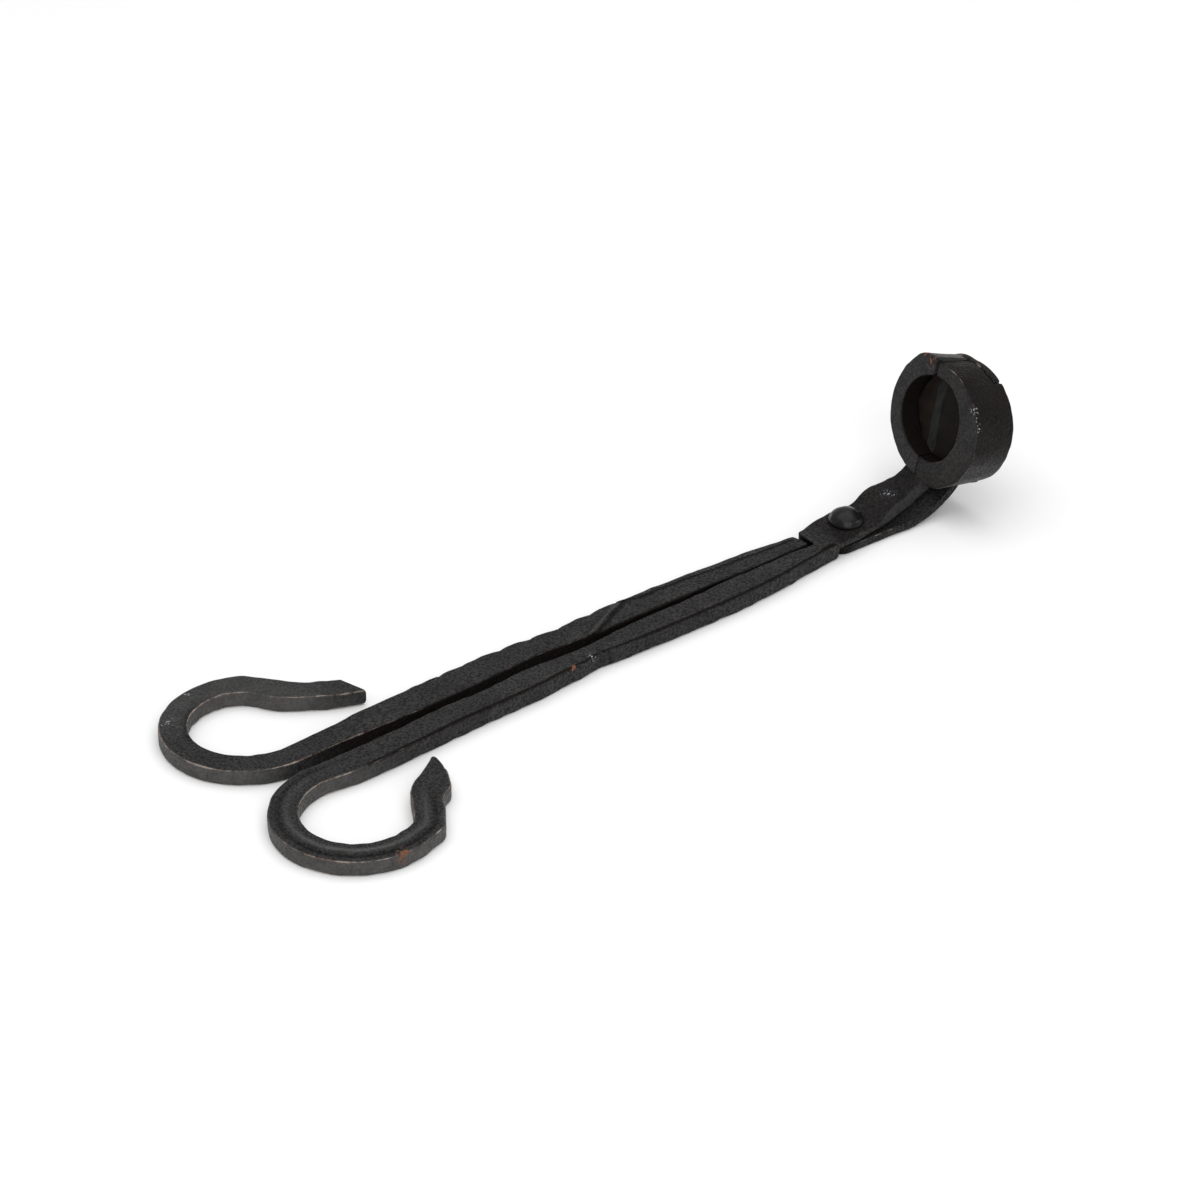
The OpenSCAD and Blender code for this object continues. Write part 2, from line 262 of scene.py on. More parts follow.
def lower_stain_and_shading(x, y, across, s, facing):
    """Painted shade darkens the space between the handles, the crease beside the facet and the
    groove of the fold, and the tops near the rivet are darker; below zero, fingers have
    burnished the loop, its sides lighter still as painted light, with a painted highlight on the
    fold's ridge and painted light on the sides past the shoulder."""
    top, right = np.clip(np.sin(facing), 0, 1), np.clip(-np.cos(facing), 0, 1)
    # painted shade: the right side, which faces the other handle, darkened where that handle
    # shades it
    gap = 0.9 * right * step_between(s, 66, 90)
    # painted shade: dark lines in the crease where the facet starts and in the fold's groove
    crease = bump_at(y, facet_line(x), 0.45) * top * step_between(x, -62, -54) * (x < -14)
    from_fold = past_fold(x, y)
    crease = crease + 0.9 * bump_at(from_fold, 0.9, 0.4) * top * (s > 90)
    crown = 0.5 * top * step_between(x, -14, -7) * (1 - step_between(x, 8, 14)) * (s > 90)
    inner = 0.6 * top * bump_at(across, 0.95, 0.3) * bump_at(s, 46, 12)
    crease = np.maximum(crease, inner)
    held = (1 - step_between(s, 84, 110)) * (1 - gap) * (0.3 + 0.7 * step_between(s, 2, 12))
    # finger polish on the loop, and painted light: its sides lighter than its top
    polish_and_light = (0.66 * np.abs(np.cos(facing)) + 0.3 * top * (1 - step_between(s, 36, 56))) * held
    # painted highlight along the fold's ridge
    polish_and_light = polish_and_light + 0.5 * bump_at(from_fold, 0, 0.3) * top * (s > 90)
    # painted light on the sides past the shoulder, where the upper neck shades them
    polish_and_light = polish_and_light + 0.8 * np.abs(np.cos(facing)) * step_between(x, -7, 0)
    return np.maximum(np.maximum(gap, crease), crown) - polish_and_light


def lower_relief(x, y, across, s):
    """Height added to the top face: the fold where two hammer runs meet, the facet along the
    left edge that thins towards the shoulder, and a shallow dish near the fold."""
    on_handle = s > 80
    from_fold = past_fold(x, y) + 0.25 * np.sin(y * 1.3)
    fold = (0.26 * bump_at(from_fold, 0, 0.4) - 0.25 * bump_at(from_fold, -0.95, 0.4)
            - 0.3 * bump_at(from_fold, 1.15, 0.6)
            - 0.12 * step_between(from_fold, 0.2, 1.2) * (1 - step_between(from_fold, 4, 14)))
    fold = fold * (1 - step_between(y, 2.6, 4.8))
    facet = -0.14 * np.maximum(y - facet_line(x), 0) * step_between(x, -60, -54)
    dish = -0.28 * bump_at(x, -77, 4) * bump_at(y, 0.9, 1.4)
    hollow = -0.1 * (1 - across**2) * np.sin(np.minimum(s, 80) / 80 * math.pi)
    return np.where(on_handle, fold + facet + dish, hollow) * (x < -12.6)


def scallop(rows_x, left):
    """Hammer notches down the left edge: between two notches the edge bows out as |sin|^0.6."""
    phase = np.interp(rows_x, NOTCHES, np.arange(len(NOTCHES)))
    inside = (rows_x > NOTCHES[0]) & (rows_x < NOTCHES[-1])
    bow = np.abs(np.sin(math.pi * phase)) ** 0.6 - 0.8
    return np.where(inside & left, 0.5 * bow, 0)


lower_points, lower_wear, lower_soot_and_shading = forge_bar(
    lower_rows, lower_low, lower_high, lower_relief, lower_stain_and_shading, 11)
x, y, z = np.moveaxis(lower_points, -1, 0)
on_left = (y > 3) & (x > -106) & (x < -57)
y += scallop(x, on_left) * step_between(y, 2.5, 5.5)
in_lap = (x > -12.2) & (x < NECK_START)
z[in_lap] = np.minimum(z[in_lap], LAP_T - 0.01)
lower_points = sweep_up(lower_points, NECK_START, NECK_RADIUS)
lower_arm = skin(
    "lower_arm_forging", lower_points, lower_wear, lower_soot_and_shading, "lower_half")
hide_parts("lower_arm")


def linear(hex_colour):
    """An sRGB hex colour as linear red, green, blue and alpha."""
    c = np.array([int(hex_colour[i:i + 2], 16) for i in (1, 3, 5)]) / 255
    c = np.where(c <= 0.04045, c / 12.92, ((c + 0.055) / 1.055) ** 2.4)
    return (*c, 1.0)


def add(tree, kind, inputs=None, stops=(), **settings):
    """Adds a shader node, sets its properties and the stops of its colour ramp, and sets or links
    its inputs. A stop is a place and a colour or a grey level. Returns the node's outputs."""
    node = tree.nodes.new("ShaderNode" + kind)
    for key, value in settings.items():
        setattr(node, key, value)
    for k, (place, colour) in enumerate(stops):
        band = node.color_ramp.elements
        element = band[k] if k < len(band) else band.new(place)
        element.position = place
        element.color = linear(colour) if isinstance(colour, str) else (colour,) * 3 + (1,)
    for key, value in (inputs or {}).items():
        if isinstance(value, bpy.types.NodeSocket):
            tree.links.new(value, node.inputs[key])
        else:
            node.inputs[key].default_value = value
    return node.outputs


def spot(tree, place, centre_mm, reach_mm, grain, cover, seed):
    """Flecks round a point, thinning out to its reach: noise of the given scale is cut off at a
    level that rises away from the point. More cover joins the flecks into a patch."""
    away = add(tree, "VectorMath", {0: place, 1: [c / 1000 for c in centre_mm]},
               operation="DISTANCE")["Value"]
    near = add(tree, "MapRange", {"Value": away, "From Min": reach_mm / 1000, "From Max": 0.0,
                                  "To Min": 0.0, "To Max": 1.0})[0]
    ragged = add(tree, "TexNoise", {"Vector": place, "W": seed, "Scale": grain, "Detail": 4.0,
                                    "Roughness": 0.6}, noise_dimensions="4D")["Fac"]
    level = add(tree, "Math", {0: ragged, 1: 4.0, 2: near}, operation="MULTIPLY_ADD")[0]
    over = add(tree, "Math", {0: level, 1: 2.4 - cover}, operation="SUBTRACT", use_clamp=True)[0]
    flecks = add(tree, "ValToRGB", {"Fac": over}, [(0.7, 0.0), (0.95, 1.0)])["Color"]
    fade = add(tree, "ValToRGB", {"Fac": near}, [(0.0, 0.0), (0.3, 1.0)])["Color"]
    return add(tree, "Math", {0: flecks, 1: fade}, operation="MULTIPLY")[0]


def blackened_iron(name, dark, mid, worn, rust_at=(), scuff_at=(), gloss=0.5, sheen=0.16,
                   grain=1.0, seed=0.0):
    """Blackened wrought iron: hammered hot, the scale left on, then oiled and waxed. The oxide is
    a dark dielectric with a soft sheen, pitted at 0.2 to 1 mm. Rubbed edges are worn to brown.
    Places burnished by fingers and places given painted light go grey; sootiness and painted
    shade make a duller brown black with less sheen. Rust and scuffs are patches and flecks,
    each given by its centre and reach in mm."""
    material = bpy.data.materials.new(name)
    material.use_nodes = True
    tree = material.node_tree
    tree.nodes.clear()
    place = add(tree, "TexCoord")["Object"]
    # scale in patches of 6 mm, grit of 0.5 mm, pits 0.8 mm apart and rubbing broken up at 2.4 mm
    cloud = add(tree, "TexNoise", {"Vector": place, "W": seed, "Scale": 160.0, "Detail": 5.0},
                noise_dimensions="4D")["Fac"]
    grit = add(tree, "TexNoise", {"Vector": place, "W": seed + 1, "Scale": 1900.0, "Detail": 3.0},
               noise_dimensions="4D")["Fac"]
    pits = add(tree, "TexVoronoi", {"Vector": place, "Scale": 1300.0})["Distance"]
    broken = add(tree, "TexNoise", {"Vector": place, "W": seed + 2, "Scale": 420.0, "Detail": 6.0,
                                    "Roughness": 0.7}, noise_dimensions="4D")["Fac"]
    body = add(tree, "ValToRGB", {"Fac": cloud}, [(0.35, dark), (0.65, mid)])["Color"]
    speck = add(tree, "ValToRGB", {"Fac": grit}, [
        (0.38, 1 - 0.85 * grain), (0.56, 1 - 0.1 * grain), (0.68, 1.0)])["Color"]
    body = add(tree, "Mix", {0: 1.0, 6: body, 7: speck}, data_type="RGBA",
               blend_type="MULTIPLY")[2]
    wear = add(tree, "Attribute", attribute_name="wear")["Fac"]
    rubbed = add(tree, "Math", {0: wear, 1: broken}, operation="MULTIPLY")[0]
    bare = add(tree, "ValToRGB", {"Fac": rubbed}, [(0.27, 0.0), (0.37, 0.85)])["Color"]
    metal = add(tree, "ValToRGB", {"Fac": broken}, [(0.42, worn), (0.62, "#a2958a")])["Color"]
    colour = add(tree, "Mix", {0: bare, 6: body, 7: metal}, data_type="RGBA")[2]
    soot_and_shading = add(tree, "Attribute", attribute_name="soot_and_shading")["Fac"]
    sooty_and_shaded = add(tree, "Clamp", {"Value": soot_and_shading})[0]
    minus_soot_and_shading = add(tree, "Math", {0: soot_and_shading, 1: -1.0}, operation="MULTIPLY")[0]
    polished_and_lit = add(tree, "Clamp", {"Value": minus_soot_and_shading})[0]
    handled_and_lit = add(tree, "Math", {0: polished_and_lit, 1: broken}, operation="MULTIPLY")[0]
    # the grey layer is finger polish and painted light; the brown-black layer is soot and painted
    # shade, which also dulls the sheen below
    layers = [(handled_and_lit, "#6e6c6a"), (sooty_and_shaded, "#100b08")]
    # rust in flecks of 1 mm and bright scuffs of 0.5 mm
    layers += [(spot(tree, place, centre, reach, 900.0, 0.7, 3.0 + k), "#6f4733")
               for k, (centre, reach) in enumerate(rust_at)]
    layers += [(spot(tree, place, centre, reach, 2000.0, 0.1, 9.0 + k), "#989fa5")
               for k, (centre, reach) in enumerate(scuff_at)]
    for amount, over in layers:
        colour = add(tree, "Mix", {0: amount, 6: colour, 7: linear(over)}, data_type="RGBA")[2]
    shine = add(tree, "ValToRGB", {"Fac": sooty_and_shaded}, [(0.0, sheen), (1.0, 0.2 * sheen)])["Color"]
    rough = add(tree, "ValToRGB", {"Fac": grit}, [
        (0.4, gloss + 0.16), (0.62, gloss - 0.1)])["Color"]
    grit_relief = add(tree, "Math", {0: grit, 1: 0.6}, operation="MULTIPLY")[0]
    pit_relief = add(tree, "Math", {0: pits, 1: 0.5}, operation="MULTIPLY")[0]
    relief = add(tree, "Math", {0: grit_relief, 1: pit_relief}, operation="ADD")[0]
    bump = add(tree, "Bump", {"Height": relief, "Strength": grain, "Distance": 0.0003})["Normal"]
    shader = add(tree, "BsdfPrincipled", {"Base Color": colour, "Roughness": rough, "IOR": 1.5,
                                          "Specular IOR Level": shine, "Normal": bump})["BSDF"]
    add(tree, "OutputMaterial", {"Surface": shader})
    return material


lower_arm.data.materials.append(blackened_iron(
    "waxed_wrought_iron_lower_arm", "#222223", "#313030", "#5b4334",
    scuff_at=[((-156.2, 27.4, 3.8), 3.2), ((-147.4, 33.6, 3.8), 2.6)]))

# ------------------------------------------------------------------------------ upper arm
# The same kind of bar, left full width over the rivet and set on top of the lower one. Its
# loop curls the other way, and its open end was spread on the anvil into a small spade.

right_curl = curl((-144.0, -6.1), [(15.6, 61), (14.2, 104), (15.2, 40)], -1, 3.1, 24)
spade = np.array([
    [-135.6, -36.2, -139.6, -31.2], [-133.8, -34.7, -138.2, -29.9],
    [-132.0, -32.4, -136.9, -28.3], [-130.5, -30.2, -135.6, -26.2],
    [-129.5, -28.5, -134.4, -24.2], [-127.9, -27.1, -133.0, -22.1], [-125.9, -26.0, -130.9, -20.3],
    [-124.4, -23.7, -128.6, -19.0], [-123.0, -21.0, -126.2, -17.6], [-122.3, -18.4, -124.2, -16.3],
    [-121.9, -15.9, -122.5, -15.1]])
upper_edges = np.array([
    [-134, -3.45, -134, -10.2], [-121.3, -3.45, -121.3, -9.85], [-111, -2.95, -110.9, -9.3],
    [-101, -3.1, -100.7, -9.16], [-90.4, -2.6, -90.4, -9.0], [-84, -2.8, -84, -8.4],
    [-78, -3.2, -78, -8.05], [-73.4, -3.25, -73.4, -7.4], [-68.6, -2.9, -68.6, -7.85],
    [-58.6, -2.25, -58.6, -8.35], [-48, -2.5, -47.8, -8.62], [-36.9, -2.1, -37, -8.62],
    [-28.5, -1.99, -30, -8.25], [-22, -2.05, -24, -7.8], [-15, -2.22, -18.6, -6.95],
    [-11.2, -2.25, -12.8, -6.3]])
upper_pad = np.array([
    [-11.0, 2.6, -11.4, -6.15], [-9.2, 3.4, -9.2, -6.0], [-6.3, 4.3, -6, -5.9],
    [-3, 4.85, -3, -5.8], [0, 5.1, 0, -5.55], [5.8, 4.95, 5.8, -4.7], [9.5, 5.3, 9.5, -3.9],
    [13.9, 5.2, 13, -3.3], [17, 4.8, 16.5, -2.75], [21, 4.3, 21, -2.55], [29, 4.1, 29, -2.55]])
upper_rows = np.vstack([spade[::-1], right_curl[::-1][1:], upper_edges, upper_pad])


def upper_low(x, y, s):
    """The underside steps up off the table where the arm passes over the other's lap."""
    return (LAP_T + 0.12) * step_between(x, -7.4, -6.9) * (s > 75) + 0.24 * step_between(x, 8, 12)


def upper_high(x, y, s):
    """Loop and handle, then thicker behind the rivet where the neck starts."""
    handle = LOOP_T + (BAR_T - LOOP_T) * step_between(x, -140, -120)
    handle = np.where(s < 70, LOOP_T + 0.1 * np.sin(s / 8 + 1), handle)
    return handle + 2.1 * step_between(x, 4.5, 12)


def on_right_loop(s):
    """1 round the right loop, fading out at its open end and at the handle."""
    return step_between(s, 8, 16) * (1 - step_between(s, 72, 92))


def upper_stain_and_shading(x, y, across, s, facing):
    """Painted shade darkens the space between the handles, a thin stripe along the right top edge
    and the crease round the loop, and the tops round the rivet are darker; below zero, fingers
    have burnished the loop, with painted light on its sides and on the neck's sides, and a band
    of painted sheen on its top beside the crease."""
    top, left = np.clip(np.sin(facing), 0, 1), np.clip(np.cos(facing), 0, 1)
    # painted shade: the left side, which faces the other handle, darkened in its shade
    gap = left * step_between(x, -136, -122) * (s > 90)
    # painted shade: a thin dark line along the rounded top right edge, which turns away from the
    # light
    line = top * step_between(-across, 0.74, 0.84) * (s > 88) * (x < -8)
    crown = 0.5 * top * step_between(x, -12, -5) * (s > 90)
    in_loop = on_right_loop(s)
    near = bump_at(s, 40, 18)
    # painted shade in the hollow of the crease round the loop
    crease = (0.3 + 0.4 * near) * in_loop * bump_at(across, 0.4, 0.14) * top
    held = 1 - step_between(s, 78, 104)
    sides = np.abs(np.cos(facing))
    # finger polish on the loop, and painted light: the loop's sides and the neck's sides lighter
    polish_and_light = 0.62 * sides * held + 0.3 * sides * step_between(x, 2, 10)
    # painted sheen: a lighter band on the loop's top beside the crease
    polish_and_light = polish_and_light + (0.15 + 0.6 * near) * in_loop * bump_at(across, -0.2, 0.2) * top
    return np.maximum(np.maximum(np.maximum(gap, line), crease), crown) - polish_and_light


def upper_relief(x, y, across, s):
    """Height added to the top face: a crease round the loop a third of the way in from its
    outer edge, a fold up the spade, and pitted scale where the handle was drawn thin."""
    crease = on_right_loop(s) * (
        -0.34 * bump_at(across, 0.36, 0.12) - 0.16 * np.maximum(across - 0.36, 0)
        + 0.16 * bump_at(across, -0.05, 0.26))
    spade_fold = -0.34 * bump_at((x + 126.5) * 0.52 - (y + 22) * 0.85, 0, 0.42) * (s < 12)
    pitted = np.minimum(0, lumps(np.stack([x, y, x * 0], -1), 0.9, 51)) * 0.45
    pitted = pitted * bump_at(x, -75, 5) * bump_at(y, -7.2, 1.5) * (s > 80)
    return crease + spade_fold + pitted


upper_points, upper_wear, upper_soot_and_shading = forge_bar(
    upper_rows, upper_low, upper_high, upper_relief, upper_stain_and_shading, 23)
x, y, z = np.moveaxis(upper_points, -1, 0)
over_lap = (x > -7.0) & (y > -8)
z[over_lap] = np.maximum(z[over_lap], LAP_T + 0.11)
upper_points = sweep_up(upper_points, NECK_START, NECK_RADIUS)
upper_arm = skin(
    "upper_arm_forging", upper_points, upper_wear, upper_soot_and_shading, "upper_half")
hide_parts("upper_arm")
upper_arm.data.materials.append(blackened_iron(
    "waxed_wrought_iron_upper_arm", "#242425", "#333232", "#5e4433",
    rust_at=[((-146.4, -37.9, 2.8), 2.3), ((-81.0, -8.3, 3.9), 1.0)],
    scuff_at=[((12.5, 0.4, 6.4), 4.2), ((-75.5, -7.4, 4.0), 2.8)], seed=20.0))

# ------------------------------------------------------------------------------ rivet
# A short iron pin set hot through both laps. Its tail fills a countersink underneath, and its
# head is a dome rounded off with a dozen light hammer blows, which leave small flats.


def turned(profile, count, seed, flats):
    """A pin turned about the z axis: rows of radius and height in mm, carried round the axis.
    Each flat cuts the dome, but not its rim, back to a plane that faces its own way."""
    angle = np.linspace(0, 2 * math.pi, count, endpoint=False)
    radius, height = np.array(profile, float).T
    fade = step_between(height, 4.3, 5.0)
    points = np.stack([radius[:, None] * np.cos(angle), radius[:, None] * np.sin(angle),
                       np.broadcast_to(height[:, None], (len(radius), count))], -1)
    rng = np.random.default_rng(seed)
    for _ in range(flats):
        tilt, turn = rng.uniform(0.15, 1.1), rng.uniform(0, 2 * math.pi)
        face = np.array([math.sin(tilt) * math.cos(turn), math.sin(tilt) * math.sin(turn),
                         math.cos(tilt)])
        high = (points @ face).max() - rng.uniform(0.05, 0.12)
        over = np.maximum(points @ face - high, 0) * fade[:, None]
        points = points - over[..., None] * face
    return points


DOME_R, DOME_H, HEAD_Z = 3.85, 3.0, 4.15
arc = np.linspace(math.pi / 2, 0.02, 28)
dome = np.stack([DOME_R * np.sin(arc), HEAD_Z + 0.12 + (DOME_H - 0.2) * np.cos(arc)], 1)
pin = [[0.05, 0.0], [2.7, 0.0], [2.75, 0.04], [2.0, 0.9], [2.0, 4.1], [2.05, HEAD_Z],
       [3.7, HEAD_Z], [3.82, HEAD_Z + 0.04]]
rivet_points = turned(np.vstack([pin, dome]), 72, 5, 12)
away = np.linalg.norm(rivet_points[..., :2], axis=-1)
rivet_wear = 0.5 * bump_at(away, 3.4, 0.5) * (rivet_points[..., 2] > 4.2)
rivet = skin("rivet_hammered", rivet_points, rivet_wear, 0.0, "lower_half")
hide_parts("pivot_rivet")
rivet.data.materials.append(blackened_iron(
    "burnished_rivet_iron", "#0e0e0f", "#161516", "#4a3d35",
    gloss=0.2, sheen=0.2, grain=0.1, seed=40.0))

# ------------------------------------------------------------------------------ cup halves
# Two half-rings bent from 4.5 by 9 mm bar, leaning back 12 degrees. Each is welded to its
# neck underneath; together they close into the round cup that goes over the wick. The right
# one runs on round the edge of the back plate.

# the halves meet at y = 0, each cut back by SEAM, and the bore's centre lies to the right
CUP_R, BORE_R, CENTRE_Y, SEAM = 14.0, 9.45, -1.7, 0.15
RIGHT_DEPTH, LEFT_DEPTH = 9.0, 9.3
TILT = math.radians(12)
MOUTH = np.array([19.5, 0.0, 8.1])


def in_cup(points):
    """From the cup's own axes (depth from the mouth, left, up) to the tool's: lean it back about
    the lowest point of the mouth."""
    d, y, z = points[..., 0], points[..., 1], points[..., 2] + CUP_R
    return np.stack([MOUTH[0] + d * math.cos(TILT) + z * math.sin(TILT), y,
                     MOUTH[2] - d * math.sin(TILT) + z * math.cos(TILT)], -1)


def outside_at(side, a, deep=0.0):
    """Outer radius of a half at an angle up from its middle. The right half is a circle hung 1.2
    below the bore; the left one bulges below its top and at its foot. Both taper to the back."""
    back = deep / LEFT_DEPTH
    if side < 0:
        drop, radius = 1.2 + 0.32 * back, CUP_R - 0.4 * back
        return drop * np.sin(-a) + np.sqrt(radius**2 - (drop * np.cos(a)) ** 2)
    front = 13.1 + 1.4 * bump_at(np.degrees(a), 62, 24) + 0.9 * bump_at(np.degrees(a), -75, 35)
    return front - back * (0.7 + 0.9 * np.sin(a))


def half_ring(side, depth, far_depth, far_y, seed, flats):
    """A half-ring: a round-cornered rectangle from the bore to the outside and from the mouth to
    the back, carried round the cup's axis from seam to seam. Past far_y the back reaches
    far_depth. The right wall is thicker in front of the blades, and both walls taper to the
    back. Hammer flats, each an angle and a depth, cut the outside to chords; lumps move it."""
    n = 210
    t = np.linspace(-1, 1, n)
    t = t + 0.012 * np.sin(math.pi * t)
    cu, cv, facing = round_section(16, 24, 5)
    mid_limit = math.acos((SEAM - side * CENTRE_Y) / (0.5 * (CUP_R + BORE_R)))
    way = t * mid_limit
    outside = outside_at(side, way * side)
    # 1.7 more at the middle of the right wall, from the mouth to the front of the blades
    narrow = 1.7 * np.cos(way) ** 2 * (side < 0)
    bore = BORE_R - narrow
    r = 0.4 * (1 + 0.4 * lumps(np.stack([t * 20, t * 0, t * 0 + seed], 1), 1.5, seed)[:, None])
    r = np.broadcast_to(r, (n, len(cu)))
    half_w, half_d = (outside - bore)[:, None] / 2, depth / 2
    inward = cu * (half_w - r) + r * np.cos(facing)
    radial = (outside + bore)[:, None] / 2 - inward
    deep = depth / 2 - (cv * (half_d - r) + r * np.sin(facing))
    from_bore = (1 + inward / half_w) / 2
    radial = radial + narrow[:, None] * from_bore * step_between(deep, 3.0, 4.4)
    taper = outside_at(side, (way * side)[:, None], deep) - outside[:, None]
    radial = radial + taper * (1 - from_bore)
    # the seam is a flat cut, so each point stops where its own circle meets the seam plane; it
    # opens by 0.3 towards the top
    seam = SEAM + 0.3 * step_between(t * side, 0.2, 0.9)[:, None]
    limit = np.arccos(np.clip((seam - side * CENTRE_Y) / radial, -1, 1))
    angle = t[:, None] * limit
    y = radial * np.cos(angle) * side
    z = radial * np.sin(angle) * side
    for place, cut in flats:
        face = np.stack([np.cos(np.radians(place)) * side, np.sin(np.radians(place))])
        edge = outside_at(side, np.radians(place)) - cut
        over = np.maximum(y * face[0] + z * face[1] - edge, 0)
        y, z = y - over * face[0], z - over * face[1]
    reach = step_between(side * (y + CENTRE_Y), far_y, far_y + 0.25)
    deep = deep * (1 + (far_depth / depth - 1) * reach)
    points = np.stack([deep, y + CENTRE_Y, z], -1)
    blow = (0.07 * lumps(points, 5.0, seed + 1) + 0.035 * lumps(points, 1.8, seed + 2)
            + 0.012 * lumps(points, 0.6, seed + 3))
    out = np.stack([-np.sin(facing) * np.ones_like(y), -np.cos(facing) * np.cos(angle) * side,
                    -np.cos(facing) * np.sin(angle) * side], -1)
    points = points + out * (blow - 0.08)[..., None]
    points[..., 1] = np.maximum(points[..., 1] * side, SEAM + 0.02) * side
    corner = np.abs(np.sin(2 * facing)) ** 2
    wear = corner[None, :] * (0.6 + 0.4 * lumps(points, 3.5, seed + 4))
    # painted shade: the bore is darker, as the inside of the cup lies in shade
    soot_and_shading = 0.8 * np.clip(np.cos(facing), 0, 1) + np.zeros_like(wear)
    # painted shade: the right half's outside darker above its lowest part, which catches the
    # floor's light
    if side < 0:
        soot_and_shading += 0.66 * np.clip(-np.cos(facing), 0, 1) * step_between(z, -9, -2)
    soot_and_shading += 0.4 * step_between(np.abs(t), 0.985, 1.0)[:, None]
    # painted light: the left half's outside lighter towards the top, where the light falls
    if side > 0:
        soot_and_shading -= 0.6 * np.clip(-np.cos(facing), 0, 1) * step_between(z, 5, 11)
    return points, wear, np.clip(soot_and_shading, -1, 1)


right_flats = [(-78, 0.2), (-52, 0.25), (-28, 0.2), (2, 0.2), (30, 0.2), (58, 0.2), (84, 0.25)]
right_points, right_wear, right_soot_and_shading = half_ring(-1, RIGHT_DEPTH, 11.5, 8.75, 61, right_flats)
right_cup = skin("right_cup_forging", in_cup(right_points), right_wear, right_soot_and_shading,
                 "lower_half")
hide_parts("right_cup_half")
left_flats = [(-70, 0.15), (-44, 0.2), (-15, 0.1), (12, 0.1), (38, 0.15)]
left_points, left_wear, left_soot_and_shading = half_ring(1, LEFT_DEPTH, LEFT_DEPTH, 99, 71, left_flats)
left_cup = skin("left_cup_forging", in_cup(left_points), left_wear, left_soot_and_shading,
                "upper_half")
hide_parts("left_cup_half")
right_cup.data.materials.append(blackened_iron(
    "waxed_wrought_iron_right_cup", "#222122", "#2d2b2a", "#6b5547", grain=0.55,
    scuff_at=[((23.8, -13.2, 28.4), 3.2), ((23.2, -14.9, 25.3), 3.2)], seed=60.0, gloss=0.46))
left_cup.data.materials.append(blackened_iron(
    "waxed_wrought_iron_left_cup", "#252425", "#312f2f", "#4c3428", grain=0.5,
    rust_at=[((22.5, 2.2, 35.3), 4.4)], seed=70.0))

# ------------------------------------------------------------------------------ blades
# Two thin steel plates, one welded into each half-ring a little behind the mouth. Their
# straight edges pass each other like scissors; each is ground to a long bevel on one face.


def plate_points(side, front, past_seam, bevel_front, seed):
    """For each height z across the bore, a closed section in distance from the edge and depth:
    out along the front face and back along the rear one. Near the cutting edge the ground face
    slopes in to 0.12 mm over the bevel; the far end is buried in the ring's wall, deepest at
    three tabs. The bevel's wear fades at a ragged line."""
    n, m = 150, 44
    thick, edge_t, bevel = 1.2, 0.12, 3.7
    z = -9.1 * np.cos(np.linspace(0.02, math.pi - 0.02, n))
    tabs = 9.18 + 0.5 * (bump_at(z, 0, 1.2) + bump_at(z, 7.4, 1.0) + bump_at(z, -7.4, 1.0))
    wall_y = CENTRE_Y + side * np.sqrt(np.maximum(tabs**2 - z**2, 0))
    free_y = CENTRE_Y - side * np.sqrt(np.maximum(9.12**2 - z**2, 0))
    edge_y = -side * past_seam
    start = np.where(side * (free_y - edge_y) > 0, free_y, edge_y)
    run = (wall_y - start)[:, None]
    share = np.linspace(0, 1, m) ** 1.4
    y = start[:, None] + run * np.concatenate([share, share[::-1]])
    from_edge = np.abs(y - edge_y)
    slope = (thick - edge_t) * np.clip(1 - from_edge / bevel, 0, 1)
    is_front = np.arange(2 * m) < m
    depth = np.where(is_front, front + slope * bevel_front,
                     front + thick - slope * (not bevel_front))
    points = np.stack([depth, y, np.broadcast_to(z[:, None], y.shape)], -1)
    marks = 0.03 * lumps(points * [1, 1, 0.4], 1.2, seed) + 0.012 * lumps(points, 0.5, seed + 1)
    points[..., 0] -= np.where(is_front, marks + 0.03, 0)
    ragged = bevel + 0.5 * lumps(points * [0, 0, 1], 2.5, seed + 2)
    ground = (1 - step_between(from_edge, ragged - 1.3, ragged)) * (is_front & bevel_front)
    return points, ground


def blade_skin(name, side, front, past_seam, bevel_front, seed):
    """Skins a blade and puts it in its half of the cup; the right one's sections run the other
    way, so that its faces point outwards too."""
    points, ground = plate_points(side, front, past_seam, bevel_front, seed)
    if side < 0:
        points, ground = points[:, ::-1], ground[:, ::-1]
    body = "lower_half" if side < 0 else "upper_half"
    return skin(name, in_cup(points), ground, 0.0, body)


